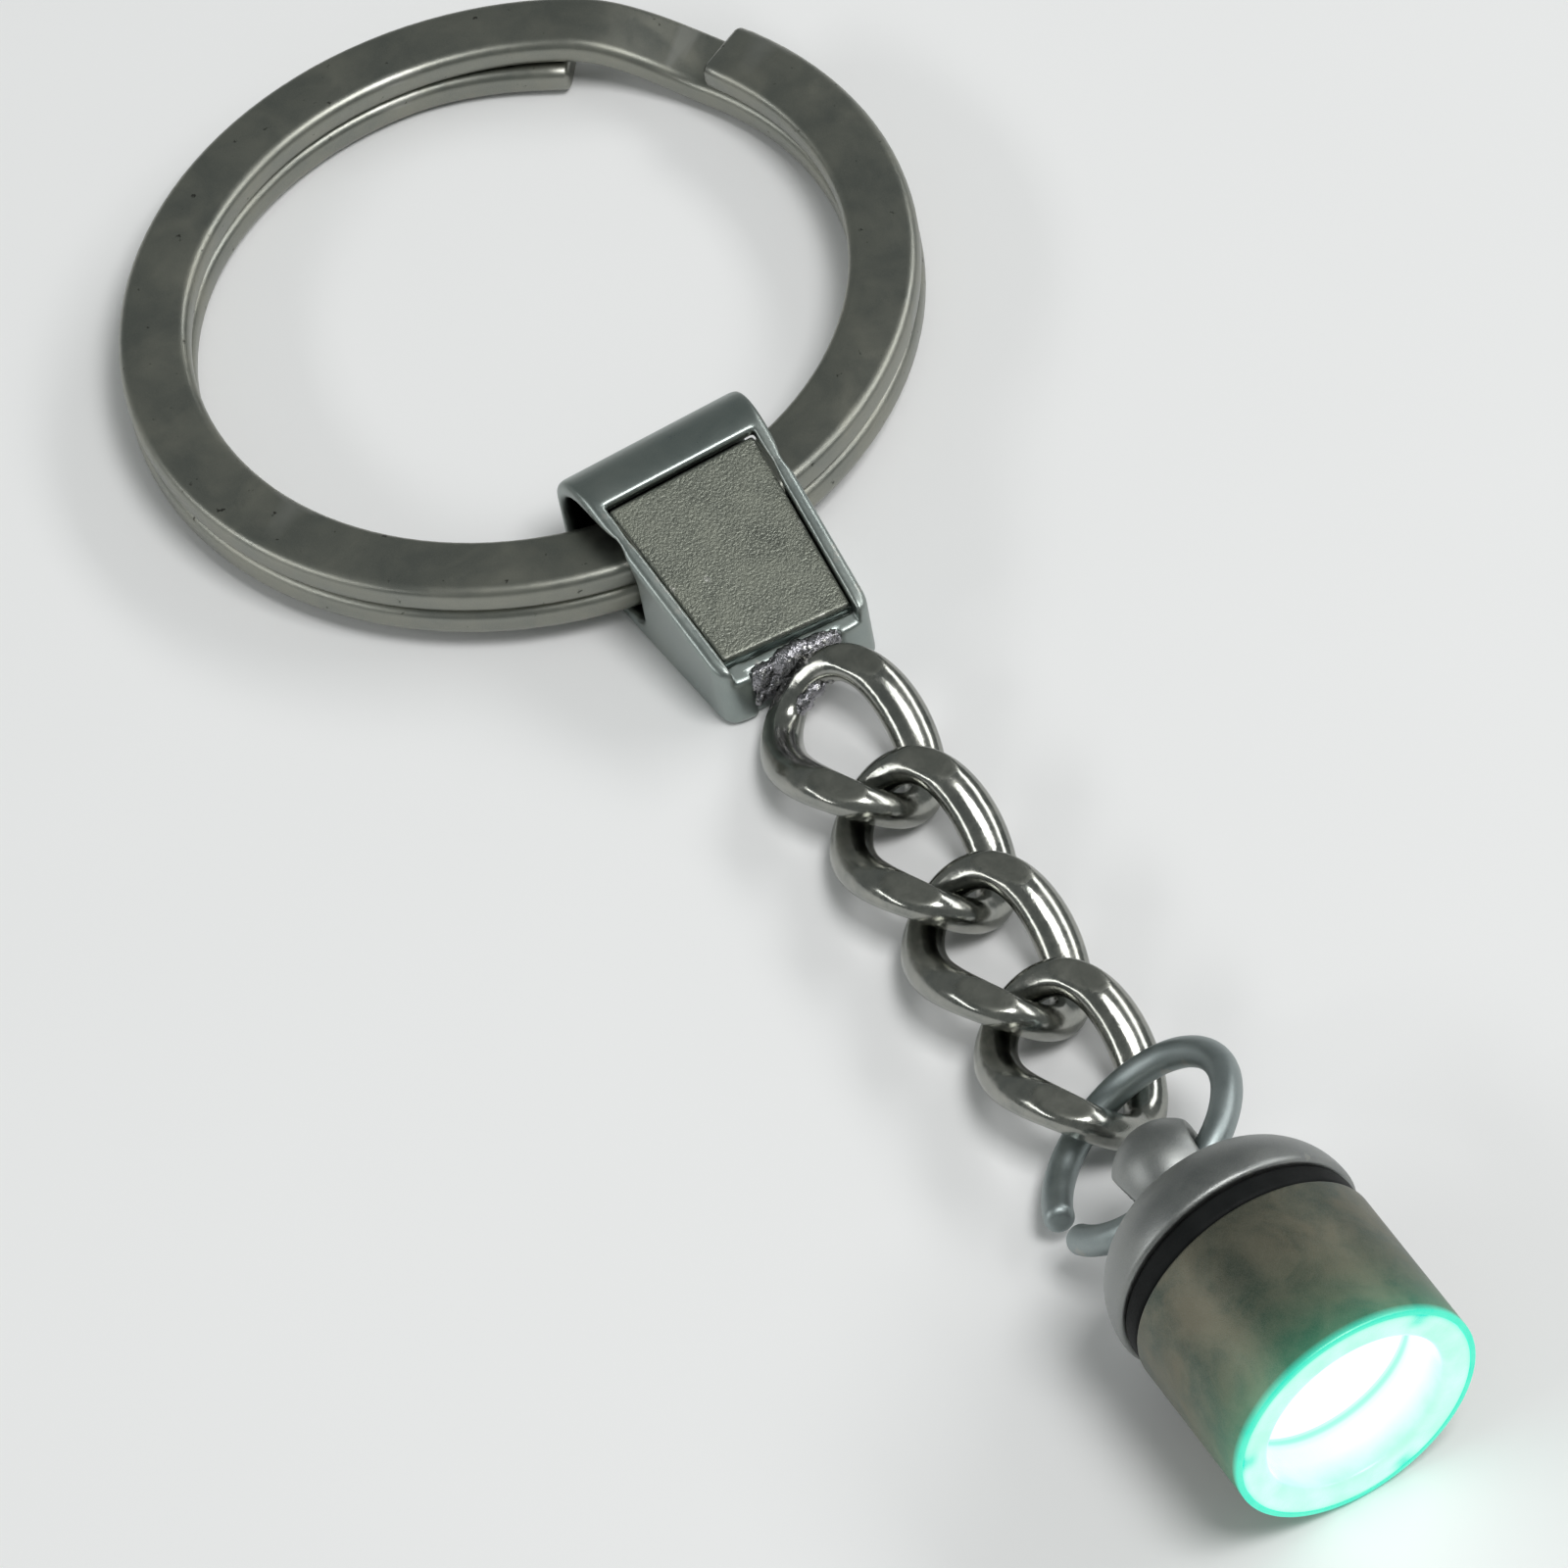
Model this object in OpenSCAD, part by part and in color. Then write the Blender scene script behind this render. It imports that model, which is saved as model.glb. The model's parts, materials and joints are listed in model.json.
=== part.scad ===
// Keychain flashlight: flat split ring, strap connector, curb chain, jump ring and a
// small twist-on light fed by two button cells. Lies on a table, +Z up, chain along +X.
// Distances along the chain are counted from the centre of the split ring.

/* [Split ring] */
// Outside diameter of the split ring
ring_outer_d = 30; // [20:0.5:40]
// Radial width of the flattened wire
ring_band_w = 2.68; // [1.5:0.02:4]
// Thickness of one coil
ring_coil_t = 1.2; // [0.8:0.05:2]
// Rounding of the wire's edges
ring_edge_r = 0.45; // [0.1:0.05:0.55]
// Lean of the ring, raised where it rests on the connector
ring_lean = 1.55; // [0:0.05:4]
// Angle at which the upper coil is cut off
step_from = 120; // [0:1:360]
// Angle at which the lower coil is cut off
step_to = 146; // [0:1:360]

/* [Connector] */
// Ring centre to the connector's rounded end
conn_start = 9.75; // [9:0.05:12]
// Ring centre to the connector's chain end
conn_end = 21.05; // [18:0.05:24]
// Height at the ring end
conn_high = 5.1; // [4:0.1:6]
// Height at the chain end
conn_low = 2.95; // [2.5:0.05:4]
// Half width at the ring end
conn_half_a = 3.85; // [3:0.05:5]
// Half width at the chain end
conn_half_b = 3.1; // [2:0.05:4]
// Turn of the connector about its chain end
conn_yaw = 3.2; // [-5:0.1:5]
// Sideways offset of the connector's chain end from the ring centre
conn_end_y = 1.07; // [0:0.01:2]
// Corner radius of the connector seen from above, at its chain end
conn_corner_r = 0.8; // [0.3:0.1:1.2]
// Corner radius under the ring end
conn_foot_r = 1.4; // [1:0.1:2.4]
// Thickness of the strap around the ring
strap_t = 0.65; // [0.4:0.05:1]
// Length of the slot that the ring runs in
slot_len = 5.0; // [3.8:0.1:5.4]
// Corner radius of the slot's lower ring side
slot_foot_r = 0.8; // [0.4:0.05:1.8]
// Corner radius of the slot's lower chain side
slot_heel_r = 0.8; // [0.4:0.05:1.2]
// Corner radius of the slot's upper chain side
slot_crown_r = 1.4; // [0.8:0.05:1.8]
// Width of the rim beside the inlaid plate
rim_w = 0.55; // [0.4:0.05:0.8]
// Depth of the recess in the top face
recess_depth = 0.55; // [0.2:0.05:0.8]
// Thickness of the inlaid plate
plate_t = 0.3; // [0.1:0.05:0.6]

/* [Chain] */
// Number of curb links
link_count = 4; // [4:1:4]
// Distance from one link to the next
link_pitch = 5.6; // [5:0.1:7]
// Ring centre to the middle of the first link
link_start = 24.95; // [24:0.05:27]
// Half length of a link's centre line
link_half_len = 3.5; // [3:0.05:4]
// Half width of a link's centre line
link_half_wid = 2.25; // [2:0.05:3]
// Extra half width of the flattened wire at a link's sides
link_swell = 0.2; // [0:0.05:0.3]
// Rise of the twisted wire
link_twist = 0.9; // [0.6:0.05:1.2]
// Wire diameter of the links
link_wire_d = 1.3; // [1:0.05:1.5]
// Half height of a link over its ground flats
link_flat = 1.35; // [1.2:0.05:1.55]
// Sideways offset of the chain from the ring centre
chain_offset = 0.95; // [0:0.05:2]
// Roll of the last link about the chain, spread over the links before it
last_link_roll = -7; // [-8:0.1:8]
// Lift of the last link off the table, spread over the links before it
last_link_lift = 0.27; // [0:0.01:0.5]

/* [Jump ring] */
// Mean radius of the jump ring
jump_r = 3.85; // [3:0.01:5]
// Wire diameter of the jump ring
jump_wire_d = 1.1; // [0.8:0.05:1.2]
// Ring centre to the middle of the jump ring, along the chain
jump_x = 47.14; // [44:0.01:50]
// Sideways offset of the jump ring's middle
jump_y = 0.99; // [-2:0.01:3]
// Height of the jump ring's middle
jump_z = 3.05; // [2:0.01:5]
// Lean of the jump ring's plane from flat
jump_lean = 37.5; // [0:0.1:90]
// Direction that the jump ring leans to
jump_turn = 227.4; // [0:0.1:360]
// Angle of the open gap
jump_gap = 28; // [3:1:60]
// Where the gap sits on the ring
jump_gap_at = 46; // [0:1:360]

/* [Light] */
// Ring centre to the front face, along the chain
lamp_x = 61.73; // [50:0.01:70]
// Sideways offset of the front face from the ring centre
lamp_y = 1.42; // [-3:0.01:3]
// Turn of the light away from the chain's line
lamp_yaw = 3.1; // [-10:0.1:10]
// Roll of the cross hole about the light's axis
lamp_roll = 19.5; // [0:0.1:90]
// Outside radius of the barrel
barrel_r = 4.62; // [4:0.01:6]
// Length of the barrel
barrel_len = 6.4; // [5:0.1:10]
// Outside radius of the cap
cap_r = 4.7; // [4:0.01:6]
// Front face to the cap's front edge
cap_front = 7.35; // [6:0.05:10]
// Front face to the top of the cap's dome
cap_back = 10.85; // [9:0.05:14]
// Radius of the cap's shoulder
shoulder_r = 2.3; // [1:0.1:3]
// Radius of the ball on the cap
ball_r = 1.95; // [1.5:0.05:2.5]
// Front face to the middle of the ball
ball_at = 11.85; // [11:0.05:14]
// Radius of the cross hole
eye_r = 1.15; // [0.6:0.05:1.3]
// Front face to the middle of the cross hole
eye_at = 11.67; // [11:0.01:14]
// Radius of the screw neck
neck_r = 4.02; // [3:0.01:5]
// Radial clearance of the screw neck in the barrel
neck_gap = 0.04; // [0.01:0.01:0.1]
// Depth of the recess in the light's face
face_recess = 2.4; // [1:0.1:4]
// Radius of the recess in the light's face
face_bore_r = 3.38; // [2:0.02:4]

/* [Cells] */
// Radius of a button cell
cell_r = 3.4; // [3:0.05:5]
// Height of a button cell
cell_h = 2.1; // [1:0.05:4]

/* [Hidden] */
$fn = 96;
eps = 0.02;
ring_r = ring_outer_d / 2;
ring_mid_r = ring_r - ring_band_w / 2;
edge_soft = 0.08;
front_reach = lamp_x + (barrel_r - edge_soft) * sin(lamp_yaw) + edge_soft * (1 - cos(lamp_yaw));
back_reach = ring_r + (2 * ring_coil_t - ring_edge_r) * sin(ring_lean);
x_mid = (front_reach - back_reach) / 2;
z_lamp = cap_r;
conn_len = conn_end - conn_start;
bail_r = conn_high / 2;
lamp_bore_r = neck_r + neck_gap;
guide_r = 4.4;
guide_len = 3.1;
board_at = 3.9;
board_t = 0.6;
rivet_t = 0.2;
cells_at = board_at + board_t + rivet_t + eps;
cell_gap = 0.02;
spring_at = cells_at + 2 * cell_h + 2 * cell_gap;
cap_floor = 10.1;
plate_slope = atan((conn_high - conn_low) / (conn_len - bail_r - 0.6));

// ---------- placing ----------

// Moves a point counted from the ring's centre into the part's own frame.
module from_ring_centre(p) {
    translate([p[0] - x_mid, p[1], p[2]]) children();
}

// Local +Z runs backwards from the light's front face, local +X points up.
module on_lamp_axis() {
    from_ring_centre([lamp_x, lamp_y, z_lamp])
        rotate([0, 0, lamp_yaw])
            rotate([0, -90, 0]) children();
}

// Axes of the connector, still counted from the ring's centre.
module on_connector() {
    from_ring_centre([conn_end, conn_end_y, 0])
        rotate([0, 0, conn_yaw])
            translate([-conn_end, 0, 0]) children();
}

// ---------- profiles ----------

function outer_tangent(a, b) =
    let (d = [b[0] - a[0], b[1] - a[1]],
         turn = atan2(d[1], d[0]) - acos((a[2] - b[2]) / norm(d)),
         n = [cos(turn), sin(turn)])
    [[a[0], a[1]] + a[2] * n, [b[0], b[1]] + b[2] * n];

// Outline of a belt pulled round circles [x, y, r] given anticlockwise.
module belt(wheels) {
    count = len(wheels);
    polygon([for (i = [0:count - 1], p = outer_tangent(wheels[i], wheels[(i + 1) % count])) p]);
    for (w = wheels) translate([w[0], w[1]]) circle(w[2]);
}

module rounded_box_2d(w, h, r) {
    belt([[r, r, r], [w - r, r, r], [w - r, h - r, r], [r, h - r, r]]);
}

module tube(r_out, r_in, from, to) {
    translate([0, 0, from])
        difference() {
            cylinder(r = r_out, h = to - from);
            translate([0, 0, -1]) cylinder(r = r_in, h = to - from + 2);
        }
}

// ---------- wire bodies ----------

// Closed or open wire through the given centre points; each section lies across the path.
module swept_wire(points, tangents, radii, sides, closed, flat) {
    n = len(points);
    function section(i) =
        let (t = tangents[i] / norm(tangents[i]),
             side = cross(t, [0, 0, 1]),
             e = side / norm(side),
             f = cross(e, t))
        [for (k = [0:sides - 1])
            let (a = 360 * k / sides,
                 p = points[i] + radii[i][0] * cos(a) * e + radii[i][1] * sin(a) * f)
            [p[0], p[1], max(-flat, min(flat, p[2]))]];
    last = closed ? n - 1 : n - 2;
    walls = [for (i = [0:last], k = [0:sides - 1])
        let (j = (i + 1) % n, m = (k + 1) % sides)
        [i * sides + k, i * sides + m, j * sides + m, j * sides + k]];
    lids = closed ? [] : [[for (k = [sides - 1:-1:0]) k],
                          [for (k = [0:sides - 1]) (n - 1) * sides + k]];
    triangles = [for (w = walls, h = [[w[0], w[1], w[2]], [w[0], w[2], w[3]]]) h];
    polyhedron([for (i = [0:n - 1], p = section(i)) p], concat(triangles, lids));
}

module curb_link() {
    stations = 52;
    angles = [for (i = [0:stations - 1]) 360 * i / stations];
    swept_wire([for (a = angles) [link_half_len * cos(a), link_half_wid * sin(a),
                                  -link_twist * sin(2 * a)]],
               [for (a = angles) [-link_half_len * sin(a), link_half_wid * cos(a),
                                  -2 * link_twist * cos(2 * a)]],
               [for (a = angles) [link_wire_d / 2 + link_swell * sin(a) ^ 2, link_wire_d / 2]],
               12, true, link_flat);
}

module place_link(i) {
    share = i / (link_count - 1);
    lift = link_flat + eps + share * last_link_lift;
    from_ring_centre([link_start + i * link_pitch, chain_offset, lift])
        rotate([share * last_link_roll, 0, 0]) children();
}

// ---------- split ring ----------

module coil_section(z) {
    translate([ring_r - ring_band_w, z])
        rounded_box_2d(ring_band_w, ring_coil_t, ring_edge_r, $fn = 16);
}

// The short length of wire that steps from the upper coil down to the lower one.
module coil_step() {
    half_turn = (step_to - step_from) / 2;
    run = ring_mid_r * sin(half_turn);
    rotate([0, 0, step_from + half_turn])
        translate([0, 0, ring_coil_t])
            rotate([atan(ring_coil_t / 2 / run), 0, 0])
                rotate([0, 0, -half_turn - 0.4])
                    rotate_extrude(angle = 2 * half_turn + 0.8)
                        coil_section(-ring_coil_t / 2);
}

module split_ring() {
    color([0.52, 0.53, 0.5])
    from_ring_centre([-ring_r, 0, 0])
        rotate([0, -ring_lean, 0])
            translate([ring_r, 0, 0]) {
                rotate([0, 0, step_to])
                    rotate_extrude(angle = 360 - step_to + step_from) {
                        coil_section(0);
                        coil_section(ring_coil_t);
                    }
                coil_step();
            }
}

// ---------- connector ----------

module conn_plan(inset, from, to) {
    slope = (conn_half_a - conn_half_b) / conn_len;
    half_from = conn_half_a - slope * (from - conn_start) - inset;
    half_to = conn_half_a - slope * (to - conn_start) - inset;
    polygon([[from, -half_from], [to, -half_to], [to, half_to], [from, half_from]]);
}

// Outline from above that rounds the chain end; it runs past the ring end.
module conn_outline() {
    a = conn_half_a + (conn_half_a - conn_half_b) / conn_len - 0.5;
    b = conn_half_b - conn_corner_r;
    near = conn_start - 1;
    far = conn_end + eps - conn_corner_r;
    belt([[near, -a, 0.5], [far, -b, conn_corner_r], [far, b, conn_corner_r], [near, a, 0.5]]);
}

module conn_side() {
    belt([[conn_start + bail_r, conn_high - bail_r, bail_r],
          [conn_start + conn_foot_r, conn_foot_r, conn_foot_r],
          [conn_end - 0.4, 0.4, 0.4],
          [conn_end - 0.55, conn_low - 0.55, 0.55]]);
}

module conn_slot() {
    bail = bail_r - strap_t;
    end = conn_start + strap_t + slot_len;
    belt([[conn_start + bail_r, conn_high - bail_r, bail],
          [conn_start + strap_t + slot_foot_r, strap_t + slot_foot_r, slot_foot_r],
          [end - slot_heel_r, strap_t + slot_heel_r, slot_heel_r],
          [end - slot_crown_r, conn_high - strap_t - slot_crown_r, slot_crown_r]]);
}

module across_conn(width) {
    translate([0, width / 2, 0]) rotate([90, 0, 0]) linear_extrude(width) children();
}

// Local frame on the sloping top face; X runs down the slope towards the chain.
module on_top_slope() {
    translate([conn_start + bail_r, 0, conn_high])
        rotate([0, plate_slope, 0])
            translate([-conn_start - bail_r, 0, 0]) children();
}

module connector_shell() {
    wall = link_start - link_half_len - link_wire_d / 2 - 0.05;
    color([0.47, 0.5, 0.49])
    difference() {
        on_connector()
            difference() {
                intersection() {
                    across_conn(20) conn_side();
                    translate([0, 0, -1]) linear_extrude(conn_high + 2) conn_outline();
                }
                across_conn(20) conn_slot();
                on_top_slope()
                    translate([0, 0, -recess_depth]) linear_extrude(2)
                        conn_plan(rim_w, conn_start + bail_r + 0.7, conn_end + 1);
            }
        from_ring_centre([wall, chain_offset - 1.75, -1]) cube([3, 3.5, 8]);
    }
}

module connector_plate() {
    color([0.4, 0.43, 0.42])
    on_connector()
        on_top_slope()
            translate([0, 0, -recess_depth + eps]) linear_extrude(plate_t)
                conn_plan(rim_w + 0.06, conn_start + bail_r + 0.8, conn_end - 0.45);
}

// Two runs of solder in the pocket at the connector's end, above and below the first link's wire.
module solder_bead() {
    wall = link_start - link_half_len - link_wire_d / 2 - 0.05;
    fall = atan2(2 * link_twist, link_half_wid);
    r = 0.26;
    reach = link_wire_d / 2 + r + 0.04;
    color([0.45, 0.46, 0.45])
    difference() {
        from_ring_centre([wall + 0.2, chain_offset, link_flat + eps])
            rotate([fall, 0, 0])
                for (s = [-1, 1])
                    translate([0, 0, s * reach]) {
                        rotate([90, 0, 0]) cylinder(r = r, h = 0.8, center = true, $fn = 32);
                        for (e = [-1, 1]) translate([0, e * 0.4, 0]) sphere(r = r, $fn = 32);
                    }
        from_ring_centre([wall + eps - 2, chain_offset - 3, -1]) cube([2, 6, 6]);
    }
}

// ---------- chain ----------

module chain_link_1() { color([0.5, 0.52, 0.5]) place_link(0) curb_link(); }
module chain_link_2() { color([0.5, 0.52, 0.5]) place_link(1) curb_link(); }
module chain_link_3() { color([0.5, 0.52, 0.5]) place_link(2) curb_link(); }
module chain_link_4() { color([0.5, 0.52, 0.5]) place_link(3) curb_link(); }

module jump_ring() {
    color([0.48, 0.5, 0.5])
    from_ring_centre([jump_x, jump_y, jump_z])
        rotate([0, jump_lean, jump_turn])
            rotate([0, 0, jump_gap_at + jump_gap / 2])
                rotate_extrude(angle = 360 - jump_gap)
                    translate([jump_r, 0]) circle(jump_wire_d / 2, $fn = 32);
}

// ---------- light: cap side ----------

module cap_profile() {
    shoulder = cap_back - 0.25 - shoulder_r;
    translate([0, cap_front]) square([cap_r, shoulder - cap_front]);
    translate([0, shoulder - 0.1]) square([cap_r - shoulder_r, shoulder_r + 0.1]);
    intersection() {
        translate([cap_r - shoulder_r, shoulder]) circle(shoulder_r);
        translate([0, shoulder - 0.1]) square([cap_r, shoulder_r + 1]);
    }
    intersection() {
        translate([0, cap_back - 14]) circle(14);
        translate([0, cap_back - 1]) square([cap_r - shoulder_r, 1.5]);
    }
}

module end_cap() {
    color([0.5, 0.51, 0.5])
    on_lamp_axis()
        difference() {
            union() {
                rotate_extrude() cap_profile();
                translate([0, 0, cells_at + 0.05])
                    cylinder(r = neck_r, h = cap_front - cells_at);
                translate([0, 0, ball_at]) sphere(r = ball_r);
            }
            translate([0, 0, 4]) cylinder(r = cell_r + 0.2, h = spring_at - 4 + 0.02);
            translate([0, 0, 4]) cylinder(r = 2.9, h = cap_floor - 4);
            translate([0, 0, eye_at])
                rotate([0, 0, -lamp_roll])
                    rotate([90, 0, 0]) cylinder(r = eye_r, h = 12, center = true);
            for (k = [0:2])
                tube(neck_r + 1, neck_r - 0.12, 5.05 + 0.5 * k, 5.2 + 0.5 * k);
        }
}

module o_ring() {
    color([0.03, 0.03, 0.03])
    on_lamp_axis()
        rotate_extrude()
            translate([neck_r + 0.01, barrel_len + 0.04])
                rounded_box_2d(0.5, cap_front - barrel_len - 0.07, 0.16);
}

module cell(from) {
    color([0.72, 0.72, 0.7])
    on_lamp_axis()
        translate([0, 0, from]) {
            translate([0, 0, 0.2]) cylinder(r = cell_r, h = cell_h - 0.2);
            cylinder(r = cell_r - 0.45, h = 0.25);
        }
}

module cell_1() { cell(cells_at); }
module cell_2() { cell(cells_at + cell_h + cell_gap); }

module cell_sleeve() {
    color([0.9, 0.9, 0.86])
    on_lamp_axis() tube(cell_r + 0.17, cell_r + 0.03, cells_at + 0.15, spring_at - 0.1);
}

module contact_spring() {
    turns = 2.5;
    stations = 60;
    wire = 0.13;
    rise = cap_floor - spring_at - 2 * wire - 0.06;
    angles = [for (i = [0:stations]) 360 * turns * i / stations];
    color([0.75, 0.72, 0.6])
    on_lamp_axis()
        translate([0, 0, spring_at + wire + 0.03])
            swept_wire([for (i = [0:stations])
                            let (a = angles[i], s = i / stations, r = 1.4 + 1.1 * s)
                            [r * cos(a), r * sin(a), rise * s]],
                       [for (a = angles) [-sin(a), cos(a), 0.001]],
                       [for (a = angles) [wire, wire]], 8, false, 5);
}

// ---------- light: barrel side ----------

module barrel() {
    color([0.42, 0.42, 0.36])
    on_lamp_axis()
        difference() {
            rotate_extrude()
                union() {
                    square([1, barrel_len]);
                    rounded_box_2d(barrel_r, barrel_len, edge_soft);
                }
            translate([0, 0, -1]) cylinder(r = guide_r, h = guide_len + 1 + eps);
            translate([0, 0, 1]) cylinder(r = lamp_bore_r, h = barrel_len);
        }
}

module diffuser_ring() {
    color([0.6, 0.95, 0.9])
    on_lamp_axis()
        difference() {
            tube(guide_r - eps, face_bore_r, eps, guide_len);
            for (k = [0:2])
                rotate([0, 0, 40 + 120 * k])
                    translate([face_bore_r + 0.35, -0.15, -1]) cube([2, 0.3, 1.3]);
        }
}

module lens_disc() {
    color([0.95, 1, 1])
    on_lamp_axis()
        translate([0, 0, face_recess]) cylinder(r = face_bore_r - eps, h = 0.65);
}

module reflector() {
    color([0.9, 0.92, 0.92])
    on_lamp_axis()
        difference() {
            translate([0, 0, guide_len + eps])
                cylinder(r = neck_r - 0.02, h = board_at - guide_len - 2 * eps);
            translate([0, 0, guide_len])
                cylinder(r1 = 3.2, r2 = 2.2, h = board_at - guide_len);
        }
}

module led_package() {
    color([0.95, 0.95, 0.9])
    on_lamp_axis()
        difference() {
            translate([-1.5, -1.3, board_at - 0.7]) cube([3, 2.6, 0.7 - eps]);
            translate([0, 0, board_at - 1]) cylinder(r = 1.1, h = 0.6);
        }
}

module led_phosphor() {
    color([0.6, 1, 0.9])
    on_lamp_axis()
        translate([0, 0, board_at - 0.68]) cylinder(r = 1.08, h = 0.26);
}

module led_board() {
    color([0.1, 0.35, 0.2])
    on_lamp_axis()
        translate([0, 0, board_at]) cylinder(r = neck_r - 0.02, h = board_t);
}

module board_rivet() {
    color([0.8, 0.65, 0.3])
    on_lamp_axis()
        translate([0, 0, board_at + board_t]) cylinder(r = 1.2, h = rivet_t);
}

split_ring();
connector_shell();
connector_plate();
solder_bead();
chain_link_1();
chain_link_2();
chain_link_3();
chain_link_4();
jump_ring();
end_cap();
o_ring();
barrel();
diffuser_ring();
lens_disc();
reflector();
led_package();
led_phosphor();
led_board();
board_rivet();
cell_1();
cell_2();
cell_sleeve();
contact_spring();
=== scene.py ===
"""Keychain flashlight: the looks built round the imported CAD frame. Lengths below are in millimetres."""
import json
import math

import bpy
import numpy as np
from mathutils import Matrix


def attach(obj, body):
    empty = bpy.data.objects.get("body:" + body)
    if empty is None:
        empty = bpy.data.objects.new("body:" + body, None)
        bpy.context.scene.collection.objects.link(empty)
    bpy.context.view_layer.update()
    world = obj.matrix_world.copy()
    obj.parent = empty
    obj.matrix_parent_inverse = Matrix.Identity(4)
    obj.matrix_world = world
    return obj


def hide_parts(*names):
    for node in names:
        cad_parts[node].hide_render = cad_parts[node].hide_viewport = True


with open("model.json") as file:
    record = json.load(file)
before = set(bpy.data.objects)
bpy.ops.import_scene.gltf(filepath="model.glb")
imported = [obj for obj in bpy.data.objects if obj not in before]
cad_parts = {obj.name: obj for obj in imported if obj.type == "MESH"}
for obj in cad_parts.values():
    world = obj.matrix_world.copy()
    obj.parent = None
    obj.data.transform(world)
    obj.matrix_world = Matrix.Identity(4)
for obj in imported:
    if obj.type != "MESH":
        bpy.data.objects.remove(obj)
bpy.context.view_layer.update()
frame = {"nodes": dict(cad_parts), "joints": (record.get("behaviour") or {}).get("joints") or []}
JOINTS = {j["name"]: j for j in frame["joints"]}
MM = 0.001


# ---------- places taken from the frame ----------

def joint_place(name):
    """(point, unit axis) of a joint, in mm."""
    joint = JOINTS[name]
    axis = np.array(joint["axis"], float)
    return np.array(joint["pos_m"], float) / MM, axis / np.linalg.norm(axis)


RING_MID, RING_NORMAL = joint_place("connector_round_ring")
LINK_JOINT, _ = joint_place("link_2_swing")
EYE, EYE_AXIS = joint_place("light_swing")
JUMP_FAR, _ = joint_place("jump_ring_bend")
TWIST, LAMP_AXIS = joint_place("barrel_twist")

# Light: local Z runs backwards from the front face, local X points up.
TWIST_BACK = 5.5
FACE = TWIST + TWIST_BACK * LAMP_AXIS
UP = np.array([0.0, 0.0, 1.0])
LAMP_ROWS = np.array([UP, np.cross(-LAMP_AXIS, UP), -LAMP_AXIS])

# Chain and connector: X along the chain, Y across it, Z up.
PITCH = 5.6
CHAIN_ORIGIN = np.array([LINK_JOINT[0] - PITCH / 2, LINK_JOINT[1], 0.0])
LINK_1_FROM_RING = 24.95
RING_ORIGIN = np.array([CHAIN_ORIGIN[0] - LINK_1_FROM_RING, 0.0, 0.0])


def lamp(points):
    """Points given in the light's own axes, in the frame."""
    return np.asarray(points, float) @ LAMP_ROWS + FACE


def smooth(t):
    t = np.clip(t, 0, 1)
    return t * t * (3 - 2 * t)


# ---------- meshes ----------

def piece(name, verts, faces, body, nodes, material, attributes=None):
    """A smooth-shaded mesh from points in mm, riding on a body in place of CAD nodes."""
    mesh = bpy.data.meshes.new(name)
    mesh.from_pydata((np.asarray(verts) * MM).tolist(), [], [tuple(f) for f in faces])
    mesh.validate()
    for attribute, values in (attributes or {}).items():
        layer = mesh.attributes.new(attribute, "FLOAT", "POINT")
        layer.data.foreach_set("value", np.asarray(values, np.float32))
    mesh.polygons.foreach_set("use_smooth", [True] * len(mesh.polygons))
    mesh.materials.append(material)
    obj = bpy.data.objects.new(name, mesh)
    bpy.context.scene.collection.objects.link(obj)
    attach(obj, body)
    if nodes:
        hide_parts(*nodes)
    return obj


def loft(rings, closed, caps):
    """Quads through rings of points, all of one length; caps close the two ends."""
    count, sides = len(rings), len(rings[0])
    verts = np.concatenate(rings)
    faces = []
    for i in range(count if closed else count - 1):
        a, b = i * sides, ((i + 1) % count) * sides
        for k in range(sides):
            m = (k + 1) % sides
            faces.append((a + k, a + m, b + m, b + k))
    if caps:
        faces.append(tuple(range(sides - 1, -1, -1)))
        faces.append(tuple((count - 1) * sides + k for k in range(sides)))
    return verts, faces


def lathe(profile, steps=160):
    """(radius, z) outline turned about the light's axis; the outline is closed."""
    profile = np.asarray(profile, float)
    turns = np.linspace(0, 2 * math.pi, steps, endpoint=False)
    rings = [np.c_[profile[:, 0] * math.cos(t), profile[:, 0] * math.sin(t), profile[:, 1]] for t in turns]
    return loft(rings, True, False)


def rounded(corners, steps=6):
    """A closed outline of (u, v, radius) corners with each corner rounded."""
    out, count = [], len(corners)
    for i, (u, v, r) in enumerate(corners):
        here = np.array([u, v], float)
        before = np.array(corners[i - 1][:2], float) - here
        after = np.array(corners[(i + 1) % count][:2], float) - here
        if r <= 0:
            out.append(here)
            continue
        a, b = before / np.linalg.norm(before), after / np.linalg.norm(after)
        half = math.acos(np.clip(a @ b, -1, 1)) / 2
        centre = here + (a + b) / np.linalg.norm(a + b) * r / math.sin(half)
        start, end = here + a * r / math.tan(half) - centre, here + b * r / math.tan(half) - centre
        sweep = math.pi - 2 * half
        for k in range(steps + 1):
            t = k / steps
            share = start * math.sin((1 - t) * sweep) + end * math.sin(t * sweep)
            out.append(centre + share / math.sin(sweep))
    return np.array(out)


# How vertices are pulled onto a distance field: probe step and longest move, in cells; then the number of
# passes and the least squared slope that is divided by.
SLOPE_STEP, FURTHEST = 0.05, 0.4
PULLS, FLATTEST = 3, 0.2


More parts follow.
